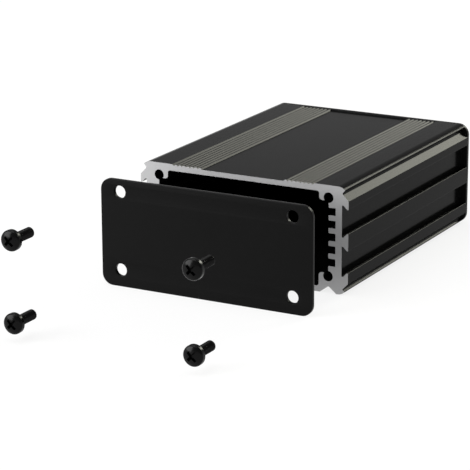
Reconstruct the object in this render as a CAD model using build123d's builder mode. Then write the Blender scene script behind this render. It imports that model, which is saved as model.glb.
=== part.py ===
from build123d import *
import math
import os

os.makedirs("parts", exist_ok=True)

# A one-piece extruded enclosure body with a flat plate over each end.
# X is across the body, Y along it from the front end to the rear end, Z up.
# The origin is the centre of the body's underside. Millimetres.

# Body, overall
body_width = 80.0
body_height = 37.5
body_length = 100.0
corner_radius = 4.0  # outer corners of the body and of both end plates

# Walls
top_wall = 2.35  # under the raised edges of the top
floor_wall = 2.05
side_wall = 2.35  # between a board slot and a side channel

# Screws: pan heads with a cross recess, four at each end
shank_diameter = 3.5
shank_length = 10.0
tip_bevel = 0.5
head_diameter = 7.0
head_height = 2.6
dome_radius = 7.0
head_bevel_width = 1.3
head_bevel_height = 0.9
recess_width = 4.2
recess_depth = 1.8
recess_wing = 0.95
recess_slope = 26.5  # degrees, how far the wing ends lean inwards
recess_turn = 45.0  # degrees, how the cross stands in the head

# Screw bores, which run the length of the body and open towards the inside
screw_inset_side = 7.4
screw_inset_top = 4.3
screw_inset_floor = 5.9
thread_play = 0.05
finger_thickness = 1.7
finger_reach = 1.1  # how far a finger reaches past the middle of its bore
finger_tip_radius = 1.2
cavity_corner_radius = 0.9

# Board slots, in facing pairs
slot_height = 2.6
slot_pitch = 4.42
rib_length = 2.6
bore_lip = 1.6  # solid between a bore and the nearest slot
rib_bevel = 0.2

# Side channels, two on each side, with undercut flanks at 45 degrees
channel_depth = 2.4
channel_flat = 0.58  # flat part of a channel's side, next to its floor
upper_channel_inset = 6.35  # from the top
lower_channel_inset = 6.45  # from the underside
middle_rail_root = 3.25
middle_rail_drop = 0.3  # the middle rail sits this far below the middle
rail_round = 0.3

# V notches along the four outer corners, with flanks at 45 degrees
top_notch_depth = 2.45
top_notch_inset = 2.3
top_notch_round = 0.7
base_notch_depth = 2.1
base_notch_inset = 2.0
base_notch_round = 0.3
lip_round = 0.25

# V grooves in the underside, one below each lower bore
groove_width = 6.2
groove_flank = 40.0  # degrees from level
groove_round = 1.0

# Top: a shallow recess with a strip of V ridges along each side of it, all flanks at 45 degrees
recess_drop = 0.61
ridge_drop = 0.12  # the ridges' flat tips sit this far below the top
strip_inset = 18.8  # from the body's side to the middle of a strip
ridge_count = 7
ridge_pitch = 1.57

# End plates
plate_thickness = 1.5
hole_play = 0.45

# The front plate and its screws stand off in line with the body
front_gap = 24.8
screw_gap = 64.0

half_width = body_width / 2
half_length = body_length / 2
margin = 0.5  # a cut that opens outwards runs this far past the surface

screw_x = half_width - screw_inset_side
screw_top_z = body_height - screw_inset_top
screw_low_z = screw_inset_floor
bore_radius = shank_diameter / 2 + thread_play
screw_places = {
    "top_left": (-screw_x, screw_top_z),
    "top_right": (screw_x, screw_top_z),
    "bottom_left": (-screw_x, screw_low_z),
    "bottom_right": (screw_x, screw_low_z),
}


def v_cut(apex, reach, half_angle, turn):
    # Cuts a V from its apex outwards: turn is the direction that it opens, in degrees
    half_mouth = reach * math.tan(math.radians(half_angle))
    with Locations(apex):
        Polygon(
            (0, 0),
            (reach, -half_mouth),
            (reach, half_mouth),
            rotation=turn,
            mode=Mode.SUBTRACT,
        )


def stands_at(x, *heights):
    # Picks the corners of a section at this distance from its middle line and these heights
    def matches(corner):
        at_x = abs(abs(corner.X) - x) < 0.001
        return at_x and any(abs(corner.Y - height) < 0.001 for height in heights)

    return matches


# Section of the extrusion: its local x is X and its local y is Z
section_plane = Plane.XZ.offset(-half_length)

channel_floor_x = half_width - channel_depth
slot_floor_x = channel_floor_x - side_wall
rib_tip_x = slot_floor_x - rib_length

upper_channel_top = body_height - upper_channel_inset
middle_rail_z = (lower_channel_inset + upper_channel_top) / 2 - middle_rail_drop
side_channels = (
    (lower_channel_inset, middle_rail_z - middle_rail_root / 2),
    (middle_rail_z + middle_rail_root / 2, upper_channel_top),
)
undercut = channel_depth - channel_flat
rail_tips = [low + undercut for low, high in side_channels]
rail_tips += [high - undercut for low, high in side_channels]

strip_x = half_width - strip_inset
recess_floor_x = strip_x - ridge_count * ridge_pitch / 2
recess_floor_z = body_height - recess_drop
recess_reach = recess_drop + margin
last_foot_x = recess_floor_x + ridge_count * ridge_pitch

top_notch_x = half_width - top_notch_depth
top_notch_z = body_height - top_notch_inset
base_notch_x = half_width - base_notch_depth
groove_depth = groove_width / 2 * math.tan(math.radians(groove_flank))

ceiling_z = body_height - top_wall
finger_x = screw_x - bore_radius - finger_thickness
top_finger_z = screw_top_z - finger_reach
low_finger_z = screw_low_z + finger_reach
slots_top_z = screw_top_z - bore_radius - bore_lip
slots_low_z = screw_low_z + bore_radius + bore_lip
rib_height = slot_pitch - slot_height
slot_count = int((slots_top_z - slots_low_z + rib_height) / slot_pitch)
slot_places = [slots_top_z - slot_height / 2 - i * slot_pitch for i in range(slot_count)]
slot_edges = [z + half * slot_height for z in slot_places for half in (-0.5, 0.5)]

with BuildPart() as extrusion:
    with BuildSketch(section_plane) as outline:
        with Locations((0, body_height / 2)):
            RectangleRounded(body_width, body_height, corner_radius)

        # Recess across the top, the V grooves that leave the ridges beside it, and their tips
        Polygon(
            (-recess_floor_x, recess_floor_z),
            (recess_floor_x, recess_floor_z),
            (recess_floor_x + recess_reach, recess_floor_z + recess_reach),
            (-recess_floor_x - recess_reach, recess_floor_z + recess_reach),
            mode=Mode.SUBTRACT,
        )
        for i in range(ridge_count):
            ridge_foot_x = last_foot_x - i * ridge_pitch
            for side in (-1, 1):
                v_cut((side * ridge_foot_x, recess_floor_z), recess_reach, 45, 90)
        with Locations((0, body_height)):
            Rectangle(2 * last_foot_x, 2 * ridge_drop, mode=Mode.SUBTRACT)

        for side in (-1, 1):
            way_out = 0 if side > 0 else 180
            floor_x = side * channel_floor_x
            flat_x = side * (channel_floor_x + channel_flat)
            mouth_x = side * (half_width + margin)
            slope = undercut + margin
            for low, high in side_channels:
                Polygon(
                    (floor_x, low),
                    (flat_x, low),
                    (mouth_x, low + slope),
                    (mouth_x, high - slope),
                    (flat_x, high),
                    (floor_x, high),
                    mode=Mode.SUBTRACT,
                )
            v_cut((side * top_notch_x, top_notch_z), top_notch_depth + margin, 45, way_out)
            v_cut((side * base_notch_x, base_notch_inset), base_notch_depth + margin, 45, way_out)
            v_cut((side * screw_x, groove_depth), groove_depth + margin, 90 - groove_flank, -90)

        # Round the notches, the grooves, the rail tips and the lips beside the notches
        rounds = (
            (stands_at(top_notch_x, top_notch_z), top_notch_round),
            (stands_at(base_notch_x, base_notch_inset), base_notch_round),
            (stands_at(screw_x, groove_depth), groove_round),
            (stands_at(half_width, *rail_tips), rail_round),
        )
        for chosen, radius in rounds:
            fillet(outline.vertices().filter_by(chosen), radius)
        above = outline.vertices().filter_by_position(Axis.Y, top_notch_z, body_height)
        below = outline.vertices().filter_by_position(Axis.Y, 0, base_notch_inset)
        lips = [row.sort_by(Axis.X)[i] for row in (above, below) for i in (0, -1)]
        fillet(lips, lip_round)
    extrude(amount=body_length)

    with BuildSketch(section_plane) as cavity:
        with Locations((0, (floor_wall + ceiling_z) / 2)):
            Rectangle(2 * finger_x, ceiling_z - floor_wall)
        with Locations((0, (low_finger_z + top_finger_z) / 2)):
            Rectangle(2 * rib_tip_x, top_finger_z - low_finger_z)
        with Locations(*[(0, z) for z in slot_places]):
            Rectangle(2 * slot_floor_x, slot_height)
        with Locations(*screw_places.values()):
            Circle(bore_radius)
        rounds = (
            (stands_at(finger_x, floor_wall, ceiling_z), cavity_corner_radius),
            (stands_at(finger_x, low_finger_z, top_finger_z), finger_tip_radius),
        )
        for chosen, radius in rounds:
            fillet(cavity.vertices().filter_by(chosen), radius)
        chamfer(cavity.vertices().filter_by(stands_at(rib_tip_x, *slot_edges)), rib_bevel)
    extrude(amount=body_length, mode=Mode.SUBTRACT)

extrusion.part.label = "extruded_body"
export_step(extrusion.part, "parts/extruded_body.step")


# End plates: flat sheets with the body's outline and four clear holes
def end_plate(rear_y, label):
    with BuildPart() as plate:
        with BuildSketch(Plane.XZ.offset(-rear_y)):
            with Locations((0, body_height / 2)):
                RectangleRounded(body_width, body_height, corner_radius)
            with Locations(*screw_places.values()):
                Circle(shank_diameter / 2 + hole_play, mode=Mode.SUBTRACT)
        extrude(amount=plate_thickness)
    plate.part.label = label
    export_step(plate.part, f"parts/{label}.step")


front_plate_back_y = -half_length - front_gap
end_plate(front_plate_back_y, "front_plate")
end_plate(half_length + plate_thickness, "rear_plate")


# Screws: facing is -1 for a head that looks to the front and 1 for one that looks to the rear
def pan_head_screw(seat, facing, label):
    shank_radius = shank_diameter / 2
    head_radius = head_diameter / 2
    dome_edge = head_radius - head_bevel_width
    dome_drop = dome_radius - math.sqrt(dome_radius**2 - dome_edge**2)
    dome_edge_height = head_height - dome_drop
    axial_plane = Plane(origin=seat, x_dir=(1, 0, 0), z_dir=(0, 0, facing))

    with BuildPart() as screw:
        with BuildSketch(axial_plane):
            with BuildLine():
                Polyline(
                    (0, head_height),
                    (0, -shank_length),
                    (shank_radius - tip_bevel, -shank_length),
                    (shank_radius, tip_bevel - shank_length),
                    (shank_radius, 0),
                    (head_radius, 0),
                    (head_radius, dome_edge_height - head_bevel_height),
                    (dome_edge, dome_edge_height),
                )
                RadiusArc((dome_edge, dome_edge_height), (0, head_height), -dome_radius)
            make_face()
        revolve(axis=Axis(seat, (0, facing, 0)))

        # Cross recess, each pair of wings leaning inwards with depth
        floor = head_height - recess_depth
        lean = math.tan(math.radians(recess_slope))
        top_half = recess_width / 2 + margin * lean
        floor_half = recess_width / 2 - recess_depth * lean
        for turn in (recess_turn, recess_turn + 90):
            across = (math.cos(math.radians(turn)), 0, math.sin(math.radians(turn)))
            wing_plane = Plane(
                origin=seat,
                x_dir=across,
                z_dir=(-facing * across[2], 0, facing * across[0]),
            )
            with BuildSketch(wing_plane):
                Polygon(
                    (-floor_half, floor),
                    (floor_half, floor),
                    (top_half, head_height + margin),
                    (-top_half, head_height + margin),
                )
            extrude(amount=recess_wing / 2, both=True, mode=Mode.SUBTRACT)
    screw.part.label = label
    export_step(screw.part, f"parts/{label}.step")


front_seat_y = front_plate_back_y - plate_thickness - screw_gap
rear_seat_y = half_length + plate_thickness
for place, (x, z) in screw_places.items():
    pan_head_screw((x, front_seat_y, z), -1, f"front_screw_{place}")
    pan_head_screw((x, rear_seat_y, z), 1, f"rear_screw_{place}")
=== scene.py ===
import bmesh
import bpy
import math
from mathutils import Matrix, Vector


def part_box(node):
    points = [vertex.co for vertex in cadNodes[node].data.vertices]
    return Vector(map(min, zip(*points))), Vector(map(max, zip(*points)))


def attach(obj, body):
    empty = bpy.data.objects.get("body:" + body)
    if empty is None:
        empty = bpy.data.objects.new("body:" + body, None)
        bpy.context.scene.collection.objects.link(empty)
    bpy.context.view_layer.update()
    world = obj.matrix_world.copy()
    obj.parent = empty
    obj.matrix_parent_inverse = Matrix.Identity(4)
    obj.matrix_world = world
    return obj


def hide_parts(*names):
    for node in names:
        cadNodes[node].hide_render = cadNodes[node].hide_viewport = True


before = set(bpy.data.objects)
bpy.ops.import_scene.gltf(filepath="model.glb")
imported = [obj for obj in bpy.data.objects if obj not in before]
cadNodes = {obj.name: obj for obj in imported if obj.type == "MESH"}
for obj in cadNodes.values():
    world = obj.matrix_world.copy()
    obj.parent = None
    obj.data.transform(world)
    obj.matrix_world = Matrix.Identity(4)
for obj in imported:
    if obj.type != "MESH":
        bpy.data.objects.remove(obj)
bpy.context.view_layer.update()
mm = 0.001
print("frame loaded:", len(cadNodes), "nodes")


class Wire:
    # One node output, so that node maths reads as arithmetic
    def __init__(self, net, socket):
        self.net = net
        self.socket = socket

    def maths(self, operation, *terms):
        sockets = dict(enumerate(terms or (self,)))
        return self.net.add("ShaderNodeMath", {"operation": operation}, sockets)

    def __add__(self, other):
        return self.maths("ADD", self, other)

    def __radd__(self, other):
        return self.maths("ADD", other, self)

    def __sub__(self, other):
        return self.maths("SUBTRACT", self, other)

    def __rsub__(self, other):
        return self.maths("SUBTRACT", other, self)

    def __mul__(self, other):
        return self.maths("MULTIPLY", self, other)

    def __rmul__(self, other):
        return self.maths("MULTIPLY", other, self)

    def __truediv__(self, other):
        return self.maths("DIVIDE", self, other)

    def __gt__(self, other):
        return self.maths("GREATER_THAN", self, other)

    def __abs__(self):
        return self.maths("ABSOLUTE")

    def clamped(self):
        return self.net.add("ShaderNodeClamp", {}, {0: self})


class Net:
    # Fills one node tree: a node comes from its type, its settings and what its sockets get
    def __init__(self, tree):
        self.tree = tree

    def feed(self, socket, value):
        for item in value if isinstance(value, list) else [value]:
            if isinstance(item, Wire):
                self.tree.links.new(item.socket, socket)
            else:
                socket.default_value = item

    def add(self, kind, settings, sockets, out=0):
        node = self.tree.nodes.new(kind)
        for key, value in settings.items():
            setattr(node, key, value)
        for key, value in sockets.items():
            self.feed(node.inputs[key], value)
        return Wire(self, node.outputs[out]) if len(node.outputs) else node

    def parts(self, vector):
        first = self.add("ShaderNodeSeparateXYZ", {}, {0: vector})
        return [Wire(self, socket) for socket in first.socket.node.outputs]

    def noise(self, vector, scale, detail=2.0, rough=0.5):
        sockets = {"Vector": vector, "Scale": scale, "Detail": detail, "Roughness": rough}
        return self.add("ShaderNodeTexNoise", {}, sockets)

    def stretched(self, vector, scale):
        return self.add("ShaderNodeMapping", {}, {"Vector": vector, "Scale": scale})

    def tinted(self, share, first, second):
        sockets = {"Factor": share, 6: first, 7: second}
        return self.add("ShaderNodeMix", {"data_type": "RGBA"}, sockets, out=2)

    def bumped(self, height):
        # The height is in metres
        return self.add("ShaderNodeBump", {}, {"Height": height, "Distance": 1.0, "Strength": 1.0})


def newFinish(name):
    material = bpy.data.materials.new(name)
    material.use_nodes = True
    material.node_tree.nodes.clear()
    net = Net(material.node_tree)
    place = net.add("ShaderNodeTexCoord", {}, {}, out="Object")
    return material, net, place


def surfaceOf(net, sockets):
    shader = net.add("ShaderNodeBsdfPrincipled", {}, sockets)
    net.add("ShaderNodeOutputMaterial", {}, {"Surface": shader})


def varied(level, *swings):
    # A level that each noise moves up and down by half its swing
    for noise, swing in swings:
        level = level + swing * (noise - 0.5)
    return level


def blended(share, first, second):
    return share * first + (1 - share) * second


# Extruded body: black anodised along its length, bare where the saw cut it
bodyFinish = {
    "anodised": (0.0024, 0.0024, 0.0025, 1),
    "anodisedPale": (0.0046, 0.0046, 0.0046, 1),
    "anodisedRoughness": 0.16,
    "specular": 0.0225,
    "dieLines": 2600.0,  # across the extrusion, per metre
    "dieLineLength": 9.0,  # along the extrusion, per metre
    "dieLineShare": 0.6,  # of the change in colour, the rest is the cloud's
    "dieLineRoughness": 0.10,
    "dieLineDepth": 0.0025 * mm,
    "cloud": 60.0,
    "etchGrain": 14000.0,
    "etchRoughness": 0.06,
    "etchDepth": 0.0012 * mm,
    "sawn": (0.395, 0.395, 0.40, 1),
    "sawnPale": (0.49, 0.49, 0.495, 1),
    "sawnRoughness": 0.60,
    "sawCentre": (-0.16, 0.0, 0.24),  # the blade's middle, so its marks are slight arcs
    "sawMarks": 2300.0,
    "sawMarkShare": 0.55,
    "sawMarkRoughness": 0.16,
    "sawDepth": 0.004 * mm,
    "sawGrain": 6500.0,
    "sawGrainRoughness": 0.06,
    "sawGrainDepth": 0.4,  # share of the marks' depth
    "sawnSkin": 0.01 * mm,  # how far in from each end the metal counts as sawn
}


def anodisedBodyFinish():
    look = bodyFinish
    material, net, place = newFinish("anodisedAluminium")
    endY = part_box("extruded_body")[1].y - look["sawnSkin"]
    sawn = abs(net.parts(place)[1]) > endY

    lines = look["dieLines"]
    alongDie = net.stretched(place, (lines, look["dieLineLength"], lines))
    dieLines = net.noise(alongDie, 1.0, detail=3.0, rough=0.65)
    etch = net.noise(place, look["etchGrain"])
    cloud = net.noise(place, look["cloud"], detail=3.0)
    lineShade = blended(look["dieLineShare"], dieLines, cloud)
    anodised = net.tinted(lineShade, look["anodised"], look["anodisedPale"])

    fromBlade = net.add(
        "ShaderNodeVectorMath", {"operation": "DISTANCE"}, {0: place, 1: look["sawCentre"]}, out=1
    )
    marks = net.add(
        "ShaderNodeTexNoise",
        {"noise_dimensions": "1D"},
        {"W": fromBlade * look["sawMarks"], "Detail": 3.0, "Roughness": 0.7},
    )
    grain = net.noise(place, look["sawGrain"], detail=3.0)
    markShade = blended(look["sawMarkShare"], marks, grain)
    bare = net.tinted(markShade, look["sawn"], look["sawnPale"])

    dieRoughness = varied(
        look["anodisedRoughness"],
        (dieLines, look["dieLineRoughness"]),
        (etch, look["etchRoughness"]),
    )
    sawRoughness = varied(
        look["sawnRoughness"],
        (marks, look["sawMarkRoughness"]),
        (grain, look["sawGrainRoughness"]),
    )
    dieHeight = dieLines * look["dieLineDepth"] + etch * look["etchDepth"]
    sawHeight = (marks + look["sawGrainDepth"] * grain) * look["sawDepth"]
    surfaceOf(net, {
        "Base Color": net.tinted(sawn, anodised, bare),
        "Metallic": sawn,
        "Roughness": blended(sawn, sawRoughness, dieRoughness),
        "Specular IOR Level": look["specular"],
        "Normal": net.bumped(blended(sawn, sawHeight, dieHeight)),
    })
    return material


cadNodes["extruded_body"].data.materials.clear()
cadNodes["extruded_body"].data.materials.append(anodisedBodyFinish())
print("extruded body finished")


# End plates: sheet with broken edges, matt black
plateShape = {
    "edgeRadius": 0.22 * mm,
    "edgeSteps": 3,
    "cornerRadius": 4.0 * mm,
    "cornerSteps": 10,
    "holeRadius": 2.2 * mm,
    "holeSteps": 12,
    "weld": 0.002 * mm,
}
plateFinish = {
    "black": (0.0032, 0.0032, 0.0032, 1),
    "blackPale": (0.0046, 0.0046, 0.0046, 1),
    "roughness": 0.34,
    "specular": 0.064,
    "grain": 5200.0,
    "grainRoughness": 0.10,
    "grainDepth": 0.006 * mm,
    "cloud": 45.0,
    "cloudRoughness": 0.05,
}


def blackOf(material, net, look, grain, cloud):
    # Plates and screws: one black in two shades, mottled by a fine and a coarse noise
    swings = ((grain, look["grainRoughness"]), (cloud, look["cloudRoughness"]))
    surfaceOf(net, {
        "Base Color": net.tinted(blended(0.5, grain, cloud), look["black"], look["blackPale"]),
        "Roughness": varied(look["roughness"], *swings),
        "Specular IOR Level": look["specular"],
        "Normal": net.bumped(grain * look["grainDepth"]),
    })
    return material


def mattPlateFinish():
    look = plateFinish
    material, net, place = newFinish("mattBlackSheet")
    grain = net.noise(place, look["grain"], detail=3.0, rough=0.6)
    cloud = net.noise(place, look["cloud"])
    return blackOf(material, net, look, grain, cloud)


def smoothLoop(curve, points, steps):
    # A closed Bezier loop: each point is (place, handle before it, handle after it)
    spline = curve.splines.new("BEZIER")
    spline.bezier_points.add(len(points) - 1)
    for knot, (place, before, after) in zip(spline.bezier_points, points):
        knot.handle_left_type = knot.handle_right_type = "FREE"
        knot.co = (*place, 0)
        knot.handle_left = (*before, 0)
        knot.handle_right = (*after, 0)
    spline.use_cyclic_u = True
    spline.resolution_u = steps


def roundedLoop(curve, centre, halfWide, halfHigh, radius, steps):
    # Four quarter circles joined by straight runs, or a circle where the runs have no length
    pull = radius * 4 / 3 * math.tan(math.pi / 8)
    onStraight = pull * 0.2
    knots = []
    for turn in range(4):
        ahead = Vector((math.cos(turn * math.pi / 2), math.sin(turn * math.pi / 2)))
        aside = Vector((-ahead.y, ahead.x))
        reach = Vector((halfWide - radius, halfHigh - radius))
        corner = ahead + aside
        middle = Vector(centre) + Vector((corner.x * reach.x, corner.y * reach.y))
        start = middle + ahead * radius
        finish = middle + aside * radius
        if reach.length > radius * 0.01:
            knots.append((start, start - aside * onStraight, start + aside * pull))
            knots.append((finish, finish + ahead * pull, finish - ahead * onStraight))
        else:
            knots.append((start, start - aside * pull, start + aside * pull))
    smoothLoop(curve, knots, steps)


def endPlate(name, cadNode, material):
    look = plateShape
    low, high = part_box(cadNode)
    middle = (low + high) / 2
    screws = [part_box(node) for node in cadNodes if node.startswith("front_screw")]
    curve = bpy.data.curves.new(name, "CURVE")
    curve.dimensions = "2D"
    curve.fill_mode = "BOTH"
    curve.extrude = (high.y - low.y) / 2 - look["edgeRadius"]
    curve.bevel_depth = look["edgeRadius"]
    curve.bevel_resolution = look["edgeSteps"]
    curve.offset = -look["edgeRadius"]
    half = (high - low) / 2
    roundedLoop(curve, (0, 0), half.x, half.z, look["cornerRadius"], look["cornerSteps"])
    for screwLow, screwHigh in screws:
        hole = (screwLow + screwHigh) / 2 - middle
        size = look["holeRadius"]
        roundedLoop(curve, (hole.x, hole.z), size, size, size, look["holeSteps"])

    flat = bpy.data.objects.new(name, curve)
    bpy.context.scene.collection.objects.link(flat)
    graph = bpy.context.evaluated_depsgraph_get()
    mesh = bpy.data.meshes.new_from_object(flat.evaluated_get(graph))
    bpy.data.objects.remove(flat)
    mesh.transform(Matrix.Translation(middle) @ Matrix.Rotation(math.pi / 2, 4, "X"))
    cleanMesh(mesh, look["weld"])
    mesh.materials.clear()
    mesh.materials.append(material)
    return placed(name, mesh)


sharpAngle = math.radians(32)


def cleanMesh(mesh, weld):
    work = bmesh.new()
    work.from_mesh(mesh)
    bmesh.ops.remove_doubles(work, verts=work.verts, dist=weld)
    bmesh.ops.recalc_face_normals(work, faces=work.faces)
    work.to_mesh(mesh)
    work.free()
    mesh.shade_smooth()
    mesh.set_sharp_from_angle(angle=sharpAngle)


def placed(name, mesh):
    piece = bpy.data.objects.new(name, mesh)
    bpy.context.scene.collection.objects.link(piece)
    return piece


plateMaterial = mattPlateFinish()
for end in ("front", "rear"):
    plate = endPlate(f"{end}PlateSheet", f"{end}_plate", plateMaterial)
    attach(plate, f"{end}_plate")
    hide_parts(f"{end}_plate")
print("end plates made")


# Screws: pan heads with a cross recess and a fine thread, black
screwShape = {
    "Head Radius": 3.5 * mm,
    "Head Height": 2.6 * mm,
    "Dome Radius": 7.0 * mm,
    "Rim Radius": 0.9 * mm,
    "Shank Radius": 1.75 * mm,
    "Shank Length": 10.0 * mm,
    "Tip Bevel": 0.5 * mm,
    "Thread Pitch": 0.6 * mm,
    "Thread Depth": 0.26 * mm,
    "Recess Width": 4.2 * mm,
    "Recess Depth": 1.8 * mm,
    "Recess Wing": 0.95 * mm,
    "Recess Slope": math.radians(26.5),
}
screwSteps = {"dome": 9, "rim": 9, "side": 2, "underside": 3, "shank": 160, "tip": 3, "end": 3}
screwTurnSteps = 48
screwWeld = 0.0005 * mm
threadForm = {
    "crest": 0.03,  # half the crest's width, as a share of the pitch
    "flank": 2.2,  # depth gained per pitch, as a share of the whole depth
    "runIn": 24,  # the thread starts after one part in so many of the shank
    "runOut": 30,
}
recessLift = 0.5 * mm  # how far above the head the cutter starts
screwFinish = {
    "black": (0.0008, 0.0008, 0.0008, 1),
    "blackPale": (0.0018, 0.0018, 0.0018, 1),
    "roughness": 0.19,
    "specular": 0.11,
    "grain": 3800.0,
    "grainRoughness": 0.14,
    "grainDepth": 0.003 * mm,
    "cloud": 500.0,
    "cloudRoughness": 0.10,
}


def blackScrewFinish():
    look = screwFinish
    material, net, place = newFinish("blackScrewSteel")
    grain = net.noise(place, look["grain"], detail=4.0, rough=0.6)
    cloud = net.noise(place, look["cloud"])
    return blackOf(material, net, look, grain, cloud)


def screwTree(material):
    tree = bpy.data.node_groups.new("panHeadScrew", "GeometryNodeTree")
    face = tree.interface
    face.new_socket("Geometry", in_out="OUTPUT", socket_type="NodeSocketGeometry")
    for label, size in screwShape.items():
        face.new_socket(label, in_out="INPUT", socket_type="NodeSocketFloat").default_value = size
    face.new_socket("Seat", in_out="INPUT", socket_type="NodeSocketVector")
    face.new_socket("Facing", in_out="INPUT", socket_type="NodeSocketFloat")

    net = Net(tree)
    first = net.add("NodeGroupInput", {}, {})
    size = {socket.name: Wire(net, socket) for socket in first.socket.node.outputs if socket.name}
    solid = turnedSolid(net, size)
    bored = net.add(
        "GeometryNodeMeshBoolean",
        {"operation": "DIFFERENCE", "solver": "EXACT"},
        {"Mesh 1": solid, "Mesh 2": crossCutter(net, size), "Self Intersection": True},
    )
    lean = net.add("ShaderNodeCombineXYZ", {}, {"X": size["Facing"] * (-math.pi / 2)})
    stood = net.add(
        "GeometryNodeTransform",
        {},
        {"Geometry": bored, "Translation": size["Seat"], "Rotation": lean},
    )
    real = net.add("GeometryNodeRealizeInstances", {}, {"Geometry": stood})
    painted = net.add("GeometryNodeSetMaterial", {}, {"Geometry": real, "Material": material})
    net.add("NodeGroupOutput", {}, {0: painted})
    return tree


def turnedSolid(net, size):
    # A grid wound round the axis: each stretch of its rows adds its own run to radius and height
    rows = sum(screwSteps.values())
    spread = {"Size X": float(rows), "Size Y": 1.0}
    counts = {"Vertices X": rows + 1, "Vertices Y": screwTurnSteps + 1}
    grid = net.add("GeometryNodeMeshGrid", {}, spread | counts)
    spot = net.parts(net.add("GeometryNodeInputPosition", {}, {}))
    row = spot[0] + rows / 2
    turn = (spot[1] + 0.5) * math.tau
    share = {}
    start = 0
    for stretch, steps in screwSteps.items():
        share[stretch] = ((row - start) / steps).clamped()
        start += steps

    rim = size["Rim Radius"]
    dome = size["Dome Radius"]
    tip = size["Tip Bevel"]
    top = size["Head Height"]
    domeEnd = ((size["Head Radius"] - rim) / (dome - rim)).maths("ARCSINE")
    domeAngle = domeEnd * share["dome"]
    rimAngle = domeEnd + (math.pi / 2 - domeEnd) * share["rim"]
    rimAcross = rimAngle.maths("SINE") - domeEnd.maths("SINE")
    rimDown = domeEnd.maths("COSINE") - rimAngle.maths("COSINE")
    sideHeight = top - dome * (1 - domeEnd.maths("COSINE")) - rim * domeEnd.maths("COSINE")

    height = top - dome * (1 - domeAngle.maths("COSINE")) - rim * rimDown
    height = height - sideHeight * share["side"]
    height = height - (size["Shank Length"] - tip) * share["shank"] - tip * share["tip"]

    phase = (height / size["Thread Pitch"] - turn / math.tau).maths("FRACT")
    groove = ((abs(phase - 0.5) - threadForm["crest"]) * threadForm["flank"]).clamped()
    begun = (share["shank"] * threadForm["runIn"] - 1).clamped()
    threaded = begun * ((1 - share["shank"]) * threadForm["runOut"]).clamped()

    radius = dome * domeAngle.maths("SINE") + rim * rimAcross
    radius = radius - (size["Head Radius"] - size["Shank Radius"]) * share["underside"]
    radius = radius - size["Thread Depth"] * groove * threaded
    radius = radius - tip * share["tip"] - (size["Shank Radius"] - tip) * share["end"]
    around = net.add(
        "ShaderNodeCombineXYZ",
        {},
        {"X": radius * turn.maths("COSINE"), "Y": radius * turn.maths("SINE"), "Z": height},
    )
    wound = net.add("GeometryNodeSetPosition", {}, {"Geometry": grid, "Position": around})
    return net.add("GeometryNodeMergeByDistance", {}, {"Geometry": wound, "Distance": screwWeld})


def crossCutter(net, size):
    # Two crossed wings that narrow towards the floor of the recess
    cube = net.add("GeometryNodeMeshCube", {}, {})
    across, along, up = net.parts(net.add("GeometryNodeInputPosition", {}, {}))
    depth = (0.5 - up) * (size["Recess Depth"] + recessLift) - recessLift
    half = size["Recess Width"] / 2 - depth * size["Recess Slope"].maths("TANGENT")
    shaped = net.add(
        "ShaderNodeCombineXYZ",
        {},
        {
            "X": across * 2 * half,
            "Y": along * size["Recess Wing"],
            "Z": size["Head Height"] - depth,
        },
    )
    wing = net.add("GeometryNodeSetPosition", {}, {"Geometry": cube, "Position": shaped})
    points = net.add("GeometryNodeMeshLine", {}, {"Count": 2, "Offset": (0, 0, 0)})
    index = net.add("GeometryNodeInputIndex", {}, {})
    spin = net.add("ShaderNodeCombineXYZ", {}, {"Z": (index + 0.5) * (math.pi / 2)})
    wings = net.add(
        "GeometryNodeInstanceOnPoints", {}, {"Points": points, "Instance": wing, "Rotation": spin}
    )
    return net.add("GeometryNodeRealizeInstances", {}, {"Geometry": wings})


def screw(name, tree, seat, facing):
    piece = placed(name, bpy.data.meshes.new(name))
    modifier = piece.modifiers.new("screw", "NODES")
    modifier.node_group = tree
    inputs = {"Seat": seat, "Facing": facing}
    for socket in tree.interface.items_tree:
        if socket.name in inputs:
            modifier[socket.identifier] = inputs[socket.name]
    graph = bpy.context.evaluated_depsgraph_get()
    mesh = bpy.data.meshes.new_from_object(piece.evaluated_get(graph))
    piece.modifiers.remove(modifier)
    piece.data = mesh
    mesh.name = name
    cleanMesh(mesh, screwWeld)
    return piece


tree = screwTree(blackScrewFinish())
for node in [name for name in cadNodes if "_screw_" in name]:
    low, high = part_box(node)
    middle = (low + high) / 2
    facing = -1.0 if node.startswith("front") else 1.0
    tipY = high.y if facing < 0 else low.y
    seat = (middle.x, tipY + facing * screwShape["Shank Length"], middle.z)
    end, _, row, side = node.split("_")
    piece = screw(end + "Screw" + row.title() + side.title(), tree, seat, facing)
    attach(piece, node)
    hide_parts(node)
print("screws made")


# Floor and light
studio = {
    "floorSize": 12.0,
    "floorColour": (0.86, 0.86, 0.86, 1),
    "floorWhite": 0.82,  # share of plain white in what the camera sees of the floor
    "horizon": 1.0,
    "zenith": 0.39,
    "bandTop": 0.06,  # sine of the elevation where the pale horizon starts to fade
    "bandFade": 0.18,
}
lamps = {
    "backSoftbox": {
        "from": (0.28, 0.84, 0.46),
        "away": 1.1,
        "size": (0.40, 0.36),
        "power": 7.1,
        "colour": (1.0, 0.995, 0.87),
    },
    "topSoftbox": {
        "from": (-0.25, -0.15, 0.95),
        "away": 1.2,
        "size": (1.0, 1.0),
        "power": 8.5,
        "colour": (1, 1, 1),
    },
    "frontSoftbox": {
        "from": (-0.62, -0.70, 0.36),
        "away": 1.3,
        "size": (0.8, 0.8),
        "power": 15.0,
        "colour": (1, 1, 1),
    },
}


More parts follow.
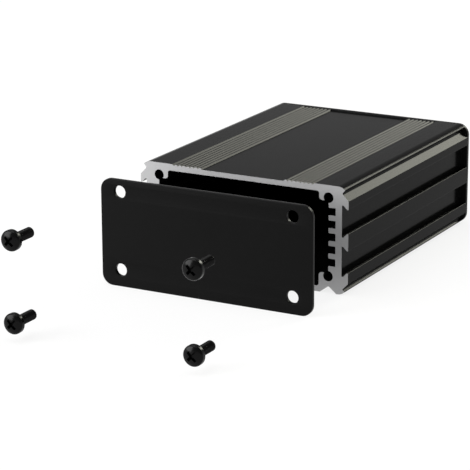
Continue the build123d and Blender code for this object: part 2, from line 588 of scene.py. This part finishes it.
def floorFinish():
    material = bpy.data.materials.new("paleFloor")
    material.use_nodes = True
    material.node_tree.nodes.clear()
    net = Net(material.node_tree)
    path = net.add("ShaderNodeLightPath", {}, {}, out="Is Camera Ray").socket.node.outputs
    seen = Wire(net, path["Is Camera Ray"]) + Wire(net, path["Is Glossy Ray"])
    seen = (seen + Wire(net, path["Is Transmission Ray"])).clamped()
    matt = net.add("ShaderNodeBsdfDiffuse", {}, {"Color": studio["floorColour"]})
    white = net.add("ShaderNodeEmission", {}, {"Color": (1, 1, 1, 1), "Strength": 1.0})
    both = net.add("ShaderNodeMixShader", {}, {0: seen * studio["floorWhite"], 1: matt, 2: white})
    net.add("ShaderNodeOutputMaterial", {}, {"Surface": both})
    return material


def floor():
    half = studio["floorSize"] / 2
    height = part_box("extruded_body")[0].z
    corners = [(-half, -half), (half, -half), (half, half), (-half, half)]
    mesh = bpy.data.meshes.new("floor")
    mesh.from_pydata([(x, y, height) for x, y in corners], [], [(0, 1, 2, 3)])
    mesh.materials.append(floorFinish())
    return placed("floor", mesh)


def skyOf(scene):
    scene.world = bpy.data.worlds.new("studio")
    scene.world.use_nodes = True
    scene.world.node_tree.nodes.clear()
    net = Net(scene.world.node_tree)
    up = net.parts(net.add("ShaderNodeTexCoord", {}, {}, out="Generated"))[2]
    fade = ((up - studio["bandTop"]) / studio["bandFade"]).clamped()
    level = studio["horizon"] + (studio["zenith"] - studio["horizon"]) * fade
    glow = net.add("ShaderNodeBackground", {}, {"Color": (1, 1, 1, 1), "Strength": level})
    net.add("ShaderNodeOutputWorld", {}, {"Surface": glow})


def hang(name, lamp, aim):
    light = bpy.data.lights.new(name, "AREA")
    light.shape = "RECTANGLE"
    light.size, light.size_y = lamp["size"]
    light.energy = lamp["power"]
    light.color = lamp["colour"]
    piece = bpy.data.objects.new(name, light)
    direction = Vector(lamp["from"]).normalized()
    piece.location = aim + direction * lamp["away"]
    piece.rotation_euler = direction.to_track_quat("Z", "Y").to_euler()
    piece.visible_camera = False
    bpy.context.scene.collection.objects.link(piece)


floor()
skyOf(bpy.context.scene)
bodyLow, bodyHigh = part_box("extruded_body")
for name, lamp in lamps.items():
    hang(name, lamp, (bodyLow + bodyHigh) / 2)
print("floor and lights set")


# Camera: the photograph's view, aimed from the middle of the front edge of the underside
shot = {
    "azimuth": math.radians(28.659),
    "elevation": math.radians(16.271),
    "roll": math.radians(-0.254),
    "distance": 789.9 * mm,
    "sideways": -2.595 * mm,
    "raised": 15.22 * mm,
    "lens": 176.54,
    "sensor": 36.0,
}


def camera():
    sine, cosine = math.sin(shot["azimuth"]), math.cos(shot["azimuth"])
    level = math.cos(shot["elevation"])
    back = Vector((sine * level, -cosine * level, math.sin(shot["elevation"])))
    across = Matrix.Rotation(shot["roll"], 3, back) @ Vector((cosine, sine, 0))
    up = back.cross(across)
    aim = Vector((0, bodyLow.y, bodyLow.z))
    place = aim + across * shot["sideways"] + up * shot["raised"] + back * shot["distance"]
    data = bpy.data.cameras.new("photoCamera")
    data.lens = shot["lens"]
    data.sensor_width = shot["sensor"]
    piece = bpy.data.objects.new("photoCamera", data)
    turned = Matrix((across, up, back)).transposed().to_4x4()
    piece.matrix_world = Matrix.Translation(place) @ turned
    bpy.context.scene.collection.objects.link(piece)
    return piece


bpy.context.scene.camera = camera()
bpy.context.scene.view_settings.view_transform = "Standard"
